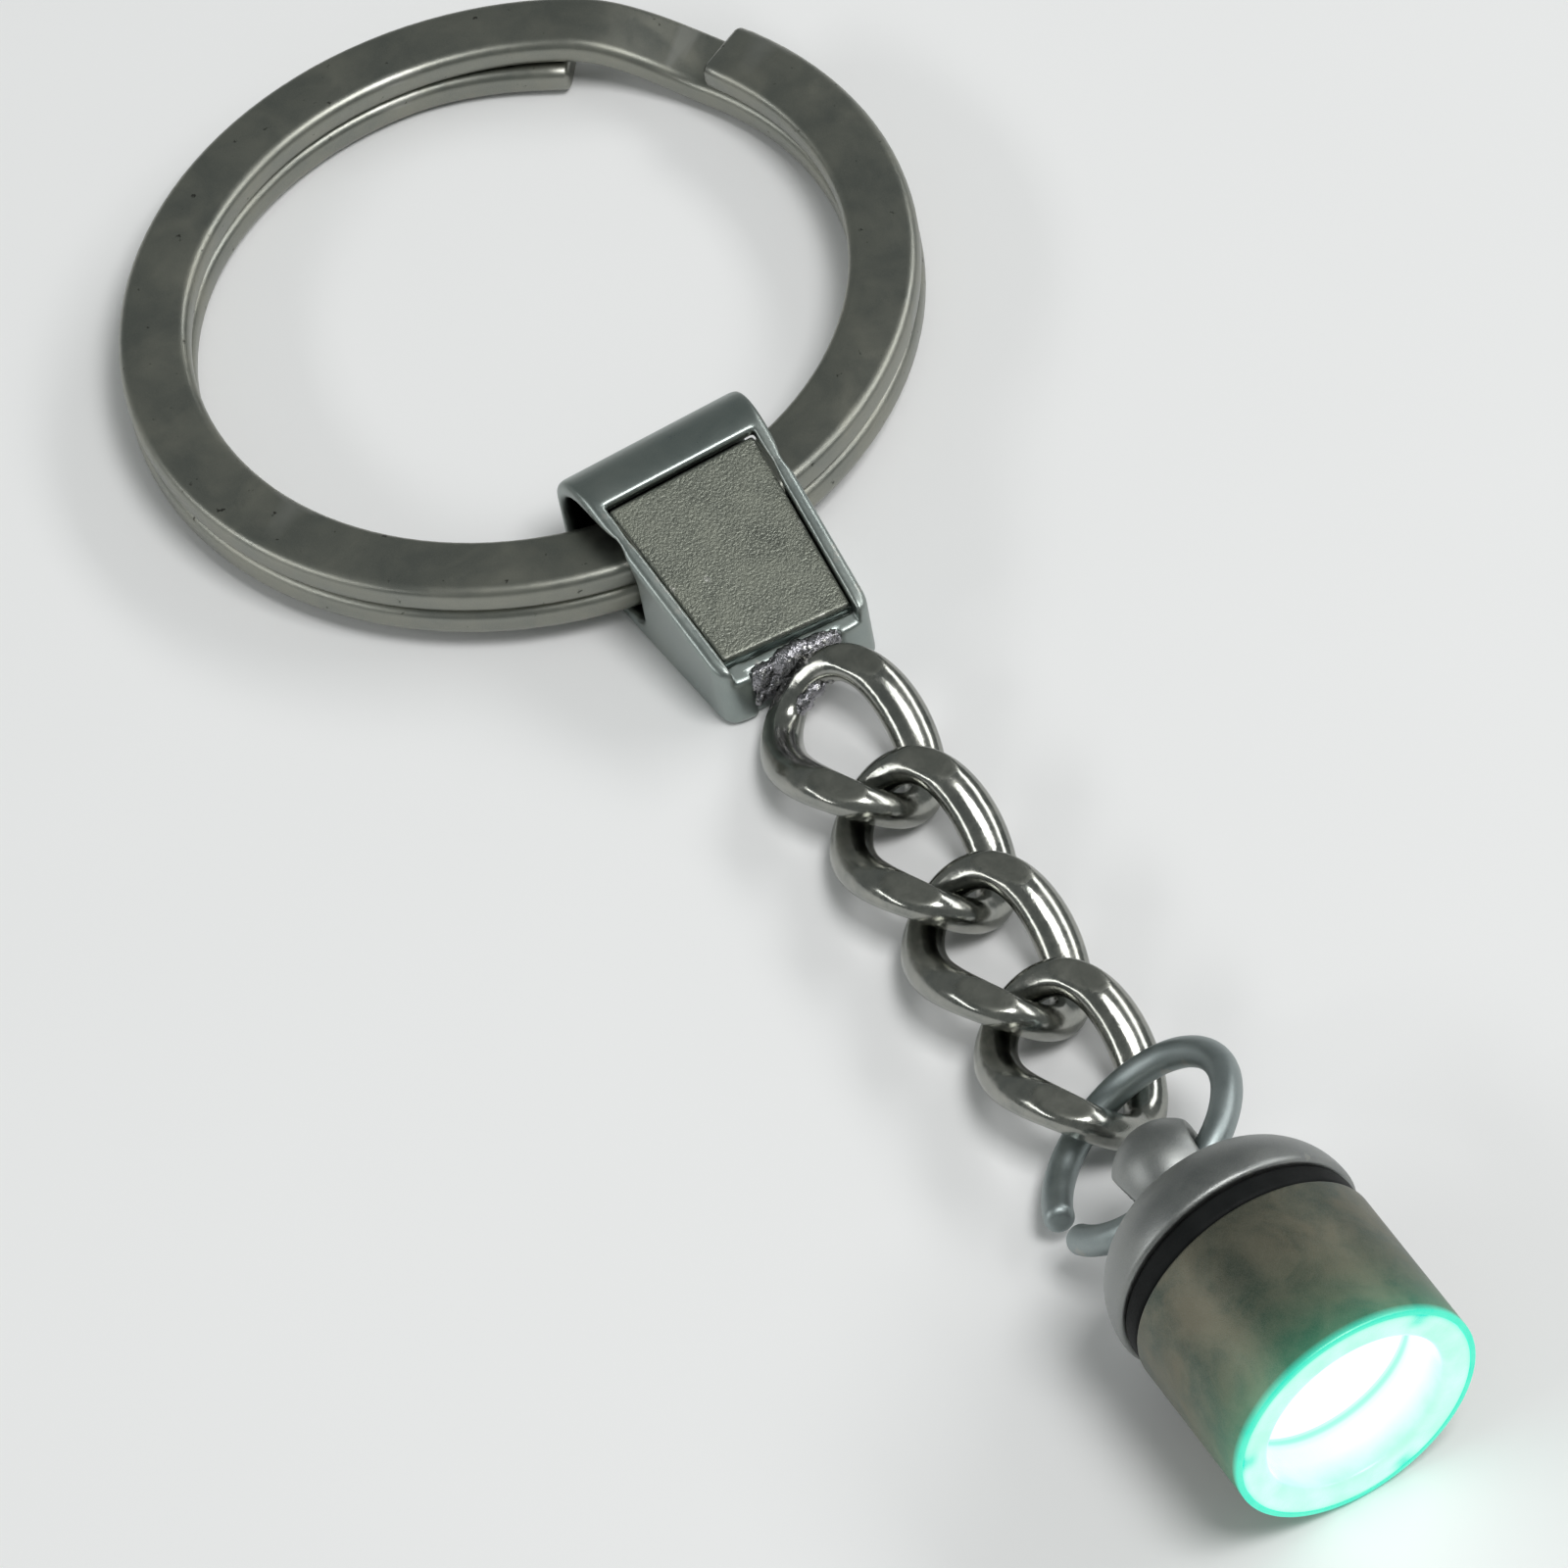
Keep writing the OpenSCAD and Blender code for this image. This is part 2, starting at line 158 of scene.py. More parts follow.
def surface(field, low, high, cell):
    """Quads on the zero level of a distance field (surface nets), pulled onto it along the gradient."""
    low, high = np.asarray(low, float), np.asarray(high, float)
    axes = [np.arange(low[i], high[i] + cell, cell) for i in range(3)]
    grid = np.stack(np.meshgrid(*axes, indexing="ij"), -1)
    value = field(grid)
    inside = value < 0
    shape = np.array(inside.shape) - 1
    total, hits = np.zeros((*shape, 3)), np.zeros(tuple(shape))
    crossings = []
    for axis in range(3):
        first = [slice(None)] * 3
        second = [slice(None)] * 3
        first[axis], second[axis] = slice(0, -1), slice(1, None)
        a, b = value[tuple(first)], value[tuple(second)]
        cut = (a < 0) != (b < 0)
        crossings.append((cut, a < 0))
        share = np.where(cut, a / np.where(cut, a - b, 1), 0)
        point = grid[tuple(first)].copy()
        point[..., axis] += share * cell
        others = [i for i in range(3) if i != axis]
        for d in ((0, 0), (0, 1), (1, 0), (1, 1)):
            src = [slice(None)] * 3
            for o, s in zip(others, d):
                src[o] = slice(s, s + shape[o])
            total += np.where(cut[tuple(src)][..., None], point[tuple(src)], 0)
            hits += cut[tuple(src)]
    cells = hits > 0
    index = -np.ones(tuple(shape), int)
    index[cells] = np.arange(cells.sum())
    verts = total[cells] / hits[cells][:, None]
    faces = []
    for axis, (cut, from_inside) in enumerate(crossings):
        o1, o2 = [(1, 2), (2, 0), (0, 1)][axis]
        ijk = np.argwhere(cut)
        ok = (ijk[:, o1] > 0) & (ijk[:, o2] > 0) & (ijk[:, o1] < shape[o1]) & (ijk[:, o2] < shape[o2])
        ijk = ijk[ok]
        flip = from_inside[tuple(ijk.T)]
        corner = []
        for s1, s2 in ((1, 1), (0, 1), (0, 0), (1, 0)):
            c = ijk.copy()
            c[:, o1] -= s1
            c[:, o2] -= s2
            corner.append(index[tuple(c.T)])
        quad = np.stack(corner, 1)
        quad[~flip] = quad[~flip][:, ::-1]
        faces.append(quad)
    step = cell * SLOPE_STEP
    for _ in range(PULLS):
        here = field(verts)
        slope = np.stack([(field(verts + step * e) - field(verts - step * e)) / (2 * step)
                          for e in np.eye(3)], -1)
        size = np.maximum((slope ** 2).sum(-1, keepdims=True), FLATTEST)
        move = here[:, None] * slope / size
        verts = verts - np.clip(move, -FURTHEST * cell, FURTHEST * cell)
    return verts, np.concatenate(faces).tolist()


# ---------- distance fields ----------

def smax(a, b, k):
    h = np.maximum(k - np.abs(a - b), 0) / k
    return np.maximum(a, b) + h * h * k / 4


def smin(a, b, k):
    return -smax(-a, -b, k)


def belt_field(u, v, wheels):
    """Distance to a belt pulled round circles (u, v, r), given anticlockwise."""
    best, inner = None, None
    for i, (u0, v0, r0) in enumerate(wheels):
        u1, v1, r1 = wheels[(i + 1) % len(wheels)]
        h = math.hypot(u1 - u0, v1 - v0)
        du, dv = (u1 - u0) / h, (v1 - v0) / h
        along, side = (u - u0) * du + (v - v0) * dv, (u - u0) * -dv + (v - v0) * du
        b = (r0 - r1) / h
        a = math.sqrt(1 - b * b)
        x = np.abs(side)
        k = -b * x + a * along
        d = np.where(k < 0, np.hypot(x, along) - r0,
                     np.where(k > a * h, np.hypot(x, along - h) - r1, a * x + b * along - r0))
        best = d if best is None else np.minimum(best, d)
        inner = -side if inner is None else np.maximum(inner, -side)
    return np.minimum(best, inner)


# ---------- materials ----------

class Nodes:
    """A material's node tree and a few short ways to add to it."""

    def __init__(self, name):
        self.material = bpy.data.materials.new(name)
        self.material.use_nodes = True
        self.tree = self.material.node_tree
        self.shader = self.tree.nodes["Principled BSDF"]
        self.place = self.add("ShaderNodeTexCoord").outputs["Object"]

    def add(self, kind, **settings):
        node = self.tree.nodes.new(kind)
        for key, value in settings.items():
            setattr(node, key, value)
        return node

    def put(self, value, socket):
        if isinstance(value, bpy.types.NodeSocket):
            self.tree.links.new(value, socket)
        else:
            socket.default_value = value

    def noise(self, size_mm, detail=4.0, rough=0.55, distortion=0.0):
        """Noise between 0 and 1 whose blobs are about size_mm wide."""
        node = self.add("ShaderNodeTexNoise")
        self.put(self.place, node.inputs["Vector"])
        node.inputs["Scale"].default_value = 1 / (size_mm * MM)
        node.inputs["Detail"].default_value = detail
        node.inputs["Roughness"].default_value = rough
        node.inputs["Distortion"].default_value = distortion
        return node.outputs["Fac"]

    def attribute(self, name):
        return self.add("ShaderNodeAttribute", attribute_name=name).outputs["Fac"]

    def pointiness(self):
        return self.add("ShaderNodeNewGeometry").outputs["Pointiness"]

    def remap(self, value, from_low, from_high, to_low=0.0, to_high=1.0):
        node = self.add("ShaderNodeMapRange")
        for key, number in (("From Min", from_low), ("From Max", from_high),
                            ("To Min", to_low), ("To Max", to_high)):
            node.inputs[key].default_value = number
        self.put(value, node.inputs["Value"])
        return node.outputs["Result"]

    def maths(self, kind, a, b=0.0):
        node = self.add("ShaderNodeMath", operation=kind)
        self.put(a, node.inputs[0])
        self.put(b, node.inputs[1])
        return node.outputs["Value"]

    def mix(self, share, a, b):
        """A colour between a and b."""
        node = self.add("ShaderNodeMix", data_type="RGBA")
        self.put(share, node.inputs["Factor"])
        for value, socket in ((a, node.inputs["A"]), (b, node.inputs["B"])):
            self.put(value if isinstance(value, bpy.types.NodeSocket) else (*value, 1.0), socket)
        return node.outputs["Result"]

    def bump(self, height, depth_mm, under=None):
        node = self.add("ShaderNodeBump")
        node.inputs["Strength"].default_value = 1.0
        node.inputs["Distance"].default_value = depth_mm * MM
        self.put(height, node.inputs["Height"])
        if under is not None:
            self.put(under, node.inputs["Normal"])
        return node.outputs["Normal"]

    def finish(self, **inputs):
        names = {"colour": "Base Color", "metal": "Metallic", "rough": "Roughness", "normal": "Normal",
                 "glow": "Emission Color", "glow_strength": "Emission Strength", "ior": "IOR"}
        for key, value in inputs.items():
            if isinstance(value, tuple):
                value = (*value, 1.0)
            self.put(value, self.shader.inputs[names[key]])
        return self.material


PALER_EDGE, PIT_DARK = (0.42, 0.42, 0.39), (0.03, 0.028, 0.024)
# The second colour on the next line is painted shade for the inside of the connector's slot.
GROUND_FLAT, SLOT_PAINTED_SHADE = (0.20, 0.205, 0.18), (0.012, 0.013, 0.013)
PIT_SIZE, GRAIN_LIFT, BLOTCH_DEPTH = 0.45, 1.5, 0.012
GROUND_ROUGH, GROUND_SHARE = 0.26, 0.8


def worn_metal(name, dark, light, rough, grain=0.03, grain_depth=0.004, blotch=2.2, edge_share=0.6,
               pits=0.0, shade=None, matte=None):
    """Plated metal: two tones in blotches, a fine grain, paler convex edges and a few dark pits.

    shade names the point attribute for painted shade inside a slot, and matte the one that dulls a ground
    flat.
    """
    n = Nodes(name)
    broad = n.noise(blotch, 5.0, 0.6, distortion=0.4)
    fine = n.noise(grain, 2.0, 0.7)
    bright = tuple(min(1, c * GRAIN_LIFT) for c in light)
    tone = n.mix(n.remap(broad, 0.35, 0.68), dark, light)
    tone = n.mix(n.remap(fine, 0.3, 0.75, 0.0, 0.35), tone, bright)
    # Convex edges, found by pointiness, are mixed towards a paler tone.
    tone = n.mix(n.remap(n.pointiness(), 0.52, 0.6, 0.0, edge_share), tone, PALER_EDGE)
    if pits:
        spots = n.remap(n.noise(PIT_SIZE, 3.0, 0.5), 0.70, 0.76, 0.0, pits)
        tone = n.mix(spots, tone, PIT_DARK)
    roughness = n.maths("ADD", n.remap(broad, 0.3, 0.7, rough - 0.06, rough + 0.07),
                        n.remap(fine, 0.2, 0.8, -0.05, 0.06))
    normal = n.bump(broad, BLOTCH_DEPTH, n.bump(fine, grain_depth))
    if matte:
        ground = n.attribute(matte)
        roughness = n.maths("ADD", roughness, n.maths("MULTIPLY", ground, GROUND_ROUGH))
        tone = n.mix(n.maths("MULTIPLY", ground, GROUND_SHARE), tone, GROUND_FLAT)
    if shade:
        # Painted shade: the attribute darkens the surface towards a near-black tone.
        tone = n.mix(n.attribute(shade), tone, SLOT_PAINTED_SHADE)
    return n.finish(colour=tone, metal=1.0, rough=roughness, normal=normal)


RING_METAL = worn_metal("ring_satin_nickel", (0.22, 0.23, 0.21), (0.29, 0.29, 0.25), 0.36, pits=0.8)
SHELL_METAL = worn_metal("connector_satin_nickel_painted_slot_shade", (0.25, 0.29, 0.28), (0.31, 0.34, 0.32), 0.34,
                         blotch=3.0, shade="slot")
PLATE_METAL = worn_metal("connector_plate_grained", (0.17, 0.18, 0.155), (0.21, 0.22, 0.185), 0.42,
                         grain=0.11, grain_depth=0.03, blotch=1.4)
LINK_METAL = worn_metal("chain_bright_nickel", (0.22, 0.23, 0.215), (0.33, 0.33, 0.30), 0.17, grain=0.05,
                        grain_depth=0.0015, blotch=0.8, edge_share=0.3, matte="ground")
JUMP_METAL = worn_metal("jump_ring_dull_nickel", (0.25, 0.29, 0.29), (0.32, 0.36, 0.36), 0.42, blotch=1.2)
CAP_METAL = worn_metal("cap_blasted", (0.24, 0.25, 0.25), (0.29, 0.30, 0.29), 0.42, grain=0.045,
                       grain_depth=0.008, blotch=1.6)
SOLDER_METAL = worn_metal("solder_rough", (0.15, 0.15, 0.16), (0.43, 0.42, 0.45), 0.2, grain=0.12,
                          grain_depth=0.05, blotch=0.35)


def barrel_material():
    n = Nodes("barrel_blotched_gunmetal_painted_glow")
    broad = n.noise(2.6, 6.0, 0.62, distortion=0.8)
    mid = n.noise(0.9, 4.0, 0.6)
    fine = n.noise(0.04, 2.0, 0.7)
    tone = n.mix(n.remap(broad, 0.36, 0.62), (0.08, 0.10, 0.08), (0.18, 0.165, 0.12))
    tone = n.mix(n.remap(mid, 0.45, 0.75, 0.0, 0.5), tone, (0.23, 0.22, 0.165))
    tone = n.mix(n.remap(fine, 0.3, 0.75, 0.0, 0.3), tone, (0.32, 0.32, 0.28))
    roughness = n.maths("ADD", n.remap(broad, 0.3, 0.7, 0.4, 0.52), n.remap(fine, 0.2, 0.8, -0.05, 0.06))
    normal = n.bump(broad, 0.02, n.bump(fine, 0.006))
    # Painted light: a cyan glow from the lit ring painted onto the barrel, across its front edge and fading
    # back along its outside.
    painted_glow_spill = n.mix(n.attribute("painted_glow_spill"), (0.0, 0.0, 0.0), (0.0, 0.16, 0.085))
    glow = n.mix(n.attribute("rim"), painted_glow_spill, (0.0, 0.78, 0.55))
    return n.finish(colour=tone, metal=1.0, rough=roughness, normal=normal, glow=glow, glow_strength=1.0)


def rubber_material():
    n = Nodes("o_ring_rubber")
    fine = n.noise(0.05, 3.0, 0.6)
    broad = n.noise(1.2, 3.0)
    tone = n.mix(n.remap(broad, 0.3, 0.7), (0.003, 0.004, 0.004), (0.009, 0.010, 0.010))
    return n.finish(colour=tone, rough=n.remap(fine, 0.2, 0.8, 0.55, 0.75),
                    normal=n.bump(fine, 0.008), ior=1.25)


def diffuser_material():
    """Translucent ring lit from inside: mint on the face, deep cyan at its rim and in its notches."""
    n = Nodes("diffuser_lit")
    cloud = n.noise(1.3, 3.0, 0.5)
    face = n.mix(n.remap(cloud, 0.35, 0.7), (0.44, 0.93, 0.72), (0.60, 0.97, 0.84))
    glow = n.mix(n.attribute("white"), face, (0.97, 1.0, 0.98))
    glow = n.mix(n.attribute("rim"), glow, (0.0, 0.74, 0.55))
    fine = n.noise(0.2, 3.0)
    tone = n.mix(cloud, (0.03, 0.10, 0.08), (0.05, 0.14, 0.11))
    return n.finish(colour=tone, rough=n.remap(fine, 0.2, 0.8, 0.2, 0.35),
                    normal=n.bump(fine, 0.004), glow=glow, glow_strength=1.0)


def lens_material():
    n = Nodes("lens_lit")
    cloud = n.noise(1.5, 2.0)
    glow = n.mix(n.remap(cloud, 0.3, 0.7), (0.95, 1.0, 0.98), (1.0, 1.0, 1.0))
    tone = n.mix(cloud, (0.1, 0.13, 0.12), (0.14, 0.16, 0.15))
    return n.finish(colour=tone, rough=n.remap(cloud, 0.2, 0.8, 0.08, 0.16),
                    glow=glow, glow_strength=1.0)


def plain_material(name, dark, light, metal, rough):
    n = Nodes(name)
    broad, fine = n.noise(1.0, 4.0), n.noise(0.08, 3.0)
    return n.finish(colour=n.mix(n.remap(broad, 0.3, 0.7), dark, light), metal=metal,
                    rough=n.remap(fine, 0.2, 0.8, rough - 0.06, rough + 0.06), normal=n.bump(fine, 0.004))


# ---------- split ring ----------

RING_R = 15.0
BAND_W = 2.68
COIL_T = 1.2
EDGE_R = 0.42
# The crossing from the upper coil to the lower one, in degrees.
STEP_FROM, STEP_TO = 120.0, 146.0
CUT_SOFT = 0.3
COIL_CLEAR = 0.03
# The last stretch of the lower coil leans inwards.
TUCK, TUCK_SPAN = 0.35, 30


def soft_ends(radius, soft, angles):
    """(turn in degrees, inset) stations that round off a cut wire end."""
    reach = math.degrees(soft / radius)
    return [(reach * (1 - math.cos(math.radians(p))), soft * (1 - math.sin(math.radians(p)))) for p in angles]


def band_section(width, height, radius, inset):
    w, h = width / 2 - inset, height / 2 - inset
    r = max(radius - inset, 0.05)
    return rounded([(-w, -h, r), (w, -h, r), (w, h, r), (-w, h, r)], 5)


def build_split_ring():
    tilt = np.array([RING_NORMAL[2], 0, -RING_NORMAL[0]])
    rows = np.array([tilt, [0, 1, 0], RING_NORMAL])
    full = 360 - (STEP_TO - STEP_FROM)
    total = 720 - (STEP_TO - STEP_FROM)
    mid_r = RING_R - BAND_W / 2
    turn = np.concatenate([np.arange(0, full - 2, 3.0), np.arange(full - 2, 362, 1.0),
                           np.arange(363, total, 3.0), [total]])
    end_len = math.degrees(CUT_SOFT / mid_r)
    bevels = soft_ends(mid_r, CUT_SOFT, (0, 20, 45, 70))
    stations = bevels + [(t, 0.0) for t in turn if end_len < t < total - end_len]
    stations += [(total - d, inset) for d, inset in reversed(bevels)]
    rings = []
    for t, inset in stations:
        angle = math.radians(STEP_FROM - t)
        drop = smooth((t - full) / (STEP_TO - STEP_FROM))
        z = COIL_T / 2 - drop * COIL_T
        slide = -TUCK * smooth((t - (total - TUCK_SPAN)) / TUCK_SPAN)
        section = band_section(BAND_W, COIL_T - COIL_CLEAR, EDGE_R, inset)
        radial = mid_r + section[:, 0] + slide
        local = np.c_[radial * math.cos(angle), radial * math.sin(angle), z + section[:, 1]]
        rings.append(local @ rows + RING_MID)
    verts, faces = loft(rings, False, True)
    piece("split_ring_wire", verts, faces, "key_ring", ["split_ring"], RING_METAL)


# ---------- connector ----------

CONN_START, CONN_END = 9.75, 21.05
CONN_HIGH, CONN_LOW = 5.1, 2.95
HALF_A, HALF_B = 3.85, 3.1
CONN_YAW, CONN_END_Y = 3.2, 1.07
STRAP, SLOT_LEN, RECESS, RIM = 0.65, 5.0, 0.55, 0.55
CONN_LEN = CONN_END - CONN_START
BAIL_R = CONN_HIGH / 2
# Radii of the side outline: the foot, the chain end's lower and upper corners, and the slot's low and
# high corners.
FOOT_R, END_LOW_R, END_TOP_R = 1.4, 0.4, 0.55
SLOT_LOW_R, SLOT_TOP_R = 0.8, 1.4
# The recess starts a little past the bail, and the plate a little past the recess's start.
RECESS_FROM, PLATE_FROM = CONN_START + BAIL_R + 0.7, CONN_START + BAIL_R + 0.8
# The chain end and the plate's lower edge are askew, as slopes; a fine slit follows the plate's edge.
END_SKEW, PLATE_END, PLATE_SKEW = 0.03, 20.55, 0.045
SLIT_W, SLIT_DEPTH = 0.16, 1.0
PLATE_THICK, PLATE_CLEAR = 0.34, 0.06
POCKET_HALF = 1.75
TOP_SLOPE = math.atan2(CONN_HIGH - CONN_LOW, CONN_LEN - BAIL_R - 0.6)
LINK_A, LINK_B, LINK_TWIST, LINK_WIRE, LINK_SWELL = 3.5, 2.25, 0.9, 1.3, 0.2
LINK_FLAT = 1.35
POCKET_X = LINK_1_FROM_RING - LINK_A - LINK_WIRE / 2 - 0.05


def place_connector(points):
    """Points of the connector's own axes, in the frame: it turns a little about its chain end."""
    c, s = math.cos(math.radians(CONN_YAW)), math.sin(math.radians(CONN_YAW))
    x, y = points[:, 0] - CONN_END, points[:, 1]
    turned = np.c_[x * c - y * s + CONN_END, x * s + y * c + CONN_END_Y, points[:, 2]]
    return turned + RING_ORIGIN


def beside_chain(x, y):
    """The connector's own x and y as distances along and across the chain."""
    c, s = math.cos(math.radians(CONN_YAW)), math.sin(math.radians(CONN_YAW))
    return (x - CONN_END) * c - y * s + CONN_END, (x - CONN_END) * s + y * c + CONN_END_Y - CHAIN_ORIGIN[1]


def half_width(x):
    return HALF_A - (HALF_A - HALF_B) / CONN_LEN * (x - CONN_START)


def slope_frame(x, z):
    """Distance down the top slope, counted from the ring centre, and height above it."""
    dx, dz = x - (CONN_START + BAIL_R), z - CONN_HIGH
    c, s = math.cos(TOP_SLOPE), math.sin(TOP_SLOPE)
    return dx * c - dz * s + CONN_START + BAIL_R, dx * s + dz * c


def unskewed(x, y):
    """The connector's x with the chain end's skew taken out; the ring end is square."""
    return x - END_SKEW * y * smooth((x - CONN_START - 5) / 5)


def slot_field(x, z):
    end = CONN_START + STRAP + SLOT_LEN
    return belt_field(x, z, [(CONN_START + BAIL_R, CONN_HIGH - BAIL_R, BAIL_R - STRAP),
                             (CONN_START + STRAP + SLOT_LOW_R, STRAP + SLOT_LOW_R, SLOT_LOW_R),
                             (end - SLOT_LOW_R, STRAP + SLOT_LOW_R, SLOT_LOW_R),
                             (end - SLOT_TOP_R, CONN_HIGH - STRAP - SLOT_TOP_R, SLOT_TOP_R)])


def connector_field(p):
    y, z = p[..., 1], p[..., 2]
    x = unskewed(p[..., 0], y)
    side = belt_field(x, z, [(CONN_START + BAIL_R, CONN_HIGH - BAIL_R, BAIL_R),
                             (CONN_START + FOOT_R, FOOT_R, FOOT_R),
                             (CONN_END - END_LOW_R, END_LOW_R, END_LOW_R),
                             (CONN_END - END_TOP_R, CONN_LOW - END_TOP_R, END_TOP_R)])
    flank = np.abs(y) - half_width(x)
    plan = smax(smax(flank, x - CONN_END, 0.95), CONN_START - x, 0.8)
    body = smax(side, plan, 0.34)
    body = smax(body, -slot_field(x, z), 0.3)
    down, up = slope_frame(x, z)
    inner = np.abs(y) - (half_width(down) - RIM)
    recess = smax(smax(inner, -RECESS - up, 0.12), RECESS_FROM - down, 0.12)
    body = smax(body, -recess, 0.18)
    tail = down - (PLATE_END + PLATE_SKEW * y)
    slit = np.maximum(np.maximum(inner + 0.05, -SLIT_DEPTH - up), np.maximum(-0.05 - tail, tail - SLIT_W))
    body = smax(body, -slit, 0.05)
    along, across = beside_chain(p[..., 0], p[..., 1])
    pocket = np.maximum(np.abs(across) - POCKET_HALF, POCKET_X - along)
    return smax(body, -pocket, 0.2)


def plate_field(p):
    y = p[..., 1]
    down, up = slope_frame(unskewed(p[..., 0], y), p[..., 2])
    flank = np.abs(y) - (half_width(down) - RIM - PLATE_CLEAR)
    flat = smax(up - (-RECESS + PLATE_THICK), -RECESS + 0.02 - up, 0.05)
    ends = smax(PLATE_FROM - down, down - PLATE_END - PLATE_SKEW * y, 0.05)
    return smax(smax(flank, ends, 0.15), flat, 0.12)


def build_connector():
    verts, faces = surface(connector_field, (CONN_START - 0.2, -4.2, -0.2),
                           (CONN_END + 0.2, 4.2, CONN_HIGH + 0.2), 0.085)
    depth = half_width(verts[:, 0]) - np.abs(verts[:, 1])
    # Painted shade inside the slot, deepest away from the connector's sides.
    painted_slot_shade = 1 - smooth((slot_field(verts[:, 0], verts[:, 2]) - 0.03) / 0.1)
    piece("connector_casting", place_connector(verts), faces, "connector",
          ["connector_shell"], SHELL_METAL, {"slot": 0.9 * painted_slot_shade * smooth(depth / 0.5)})

    verts, faces = surface(plate_field, (PLATE_FROM - 0.4, -3.5, 1.9),
                           (PLATE_END + 0.6, 3.5, CONN_HIGH), 0.075)
    piece("connector_inlay", place_connector(verts), faces, "connector",
          ["connector_plate"], PLATE_METAL)


# The thin skin under the lumps: half sizes along X, Y and Z, its height, and how softly lumps run together.
SKIN_X, SKIN_Y, SKIN_Z, SKIN_AT = 0.12, 1.7, 0.85, 1.45
LUMP_BLEND, SKIN_BLEND, RIPPLE = 0.25, 0.3, 0.03


def solder_blobs():
    """(x, y, z, radius) lumps: along the pocket's top edge, over its wall and inside the first link's end."""
    rng = np.random.default_rng(5)
    blobs = []
    for _ in range(22):
        y = rng.uniform(-1.6, 1.6)
        blobs.append((POCKET_X + rng.uniform(-0.1, 0.12), y, 2.25 - 0.12 * y * y + rng.uniform(-0.25, 0.15),
                      rng.uniform(0.18, 0.34)))
    for _ in range(18):
        blobs.append((POCKET_X + rng.uniform(-0.12, 0.2), rng.uniform(-1.7, 1.7), rng.uniform(0.8, 2.1),
                      rng.uniform(0.2, 0.36)))
    inner = LINK_1_FROM_RING - LINK_A + LINK_WIRE / 2
    for _ in range(12):
        y = rng.uniform(-0.75, 0.75)
        blobs.append((inner + 0.02 + 0.25 * y * y, y, 1.4 + 0.75 * y + rng.uniform(-0.2, 0.25),
                      rng.uniform(0.14, 0.24)))
    return blobs


def build_solder():
    blobs = solder_blobs()

    def field(p):
        x, y, z = p[..., 0], p[..., 1], p[..., 2]
        d = None
        for bx, by, bz, r in blobs:
            e = np.sqrt((x - bx) ** 2 + (y - by) ** 2 + (z - bz) ** 2) - r
            d = e if d is None else smin(d, e, LUMP_BLEND)
        skin = np.maximum(np.maximum(np.abs(x - POCKET_X) - SKIN_X, np.abs(y) - SKIN_Y),
                          np.abs(z - SKIN_AT) - SKIN_Z)
        ripple = RIPPLE * np.sin(19 * x + 7 * z) * np.sin(23 * y) * np.sin(17 * z + 3)
        return smin(d, skin, SKIN_BLEND) + ripple

    verts, faces = surface(field, (POCKET_X - 0.7, -2.2, 0.2), (POCKET_X + 2.2, 2.2, 3.1), 0.055)
    verts = verts + RING_ORIGIN + np.array([0, CHAIN_ORIGIN[1], 0])
    piece("solder_lumps", verts, faces, "connector", ["solder_bead"], SOLDER_METAL)


# ---------- chain ----------

# The last link leans over and is lifted by the jump ring; the links between share this evenly.
LAST_ROLL, LAST_LIFT = -7.0, 0.27
FLOOR_GAP = 0.02


def build_links():
    stations, sides = 180, 28
    t = np.linspace(0, 2 * math.pi, stations, endpoint=False)
    line = np.c_[LINK_A * np.cos(t), LINK_B * np.sin(t), -LINK_TWIST * np.sin(2 * t)]
    run = np.c_[-LINK_A * np.sin(t), LINK_B * np.cos(t), -2 * LINK_TWIST * np.cos(2 * t)]
    run /= np.linalg.norm(run, axis=1)[:, None]
    across = np.cross(run, [0, 0, 1])
    across /= np.linalg.norm(across, axis=1)[:, None]
    over = np.cross(across, run)
    phase = np.linspace(0, 2 * math.pi, sides, endpoint=False)
    rings = []
    wide = LINK_WIRE / 2 + LINK_SWELL * np.sin(t) ** 2
    for c, e, f, w in zip(line, across, over, wide):
        ring = c + w * np.cos(phase)[:, None] * e + LINK_WIRE / 2 * np.sin(phase)[:, None] * f
        ring[:, 2] = np.clip(ring[:, 2], -LINK_FLAT, LINK_FLAT)
        rings.append(ring)
    verts, faces = loft(rings, True, False)
    ground = smooth((np.abs(verts[:, 2]) - LINK_FLAT + 0.03) / 0.03)
    bodies = ["connector", "link_2", "link_3", "link_4"]
    for i, body in enumerate(bodies):
        share = i / (len(bodies) - 1)
        roll = math.radians(LAST_ROLL * share)
        c, s = math.cos(roll), math.sin(roll)
        turn = np.array([[1, 0, 0], [0, c, -s], [0, s, c]])
        place = CHAIN_ORIGIN + np.array([i * PITCH, 0, LINK_FLAT + FLOOR_GAP + LAST_LIFT * share])
        piece(f"curb_link_{i + 1}", verts @ turn.T + place, faces, body,
              [f"chain_link_{i + 1}"], LINK_METAL, {"ground": ground})


JUMP_R, JUMP_WIRE = 3.85, 1.1
# The open gap and its middle, in degrees round the wire.
JUMP_GAP, JUMP_GAP_AT = 23.0, 48.5
JUMP_LEAN, JUMP_TURN = math.radians(37.5), math.radians(227.4)
JUMP_SOFT = 0.3


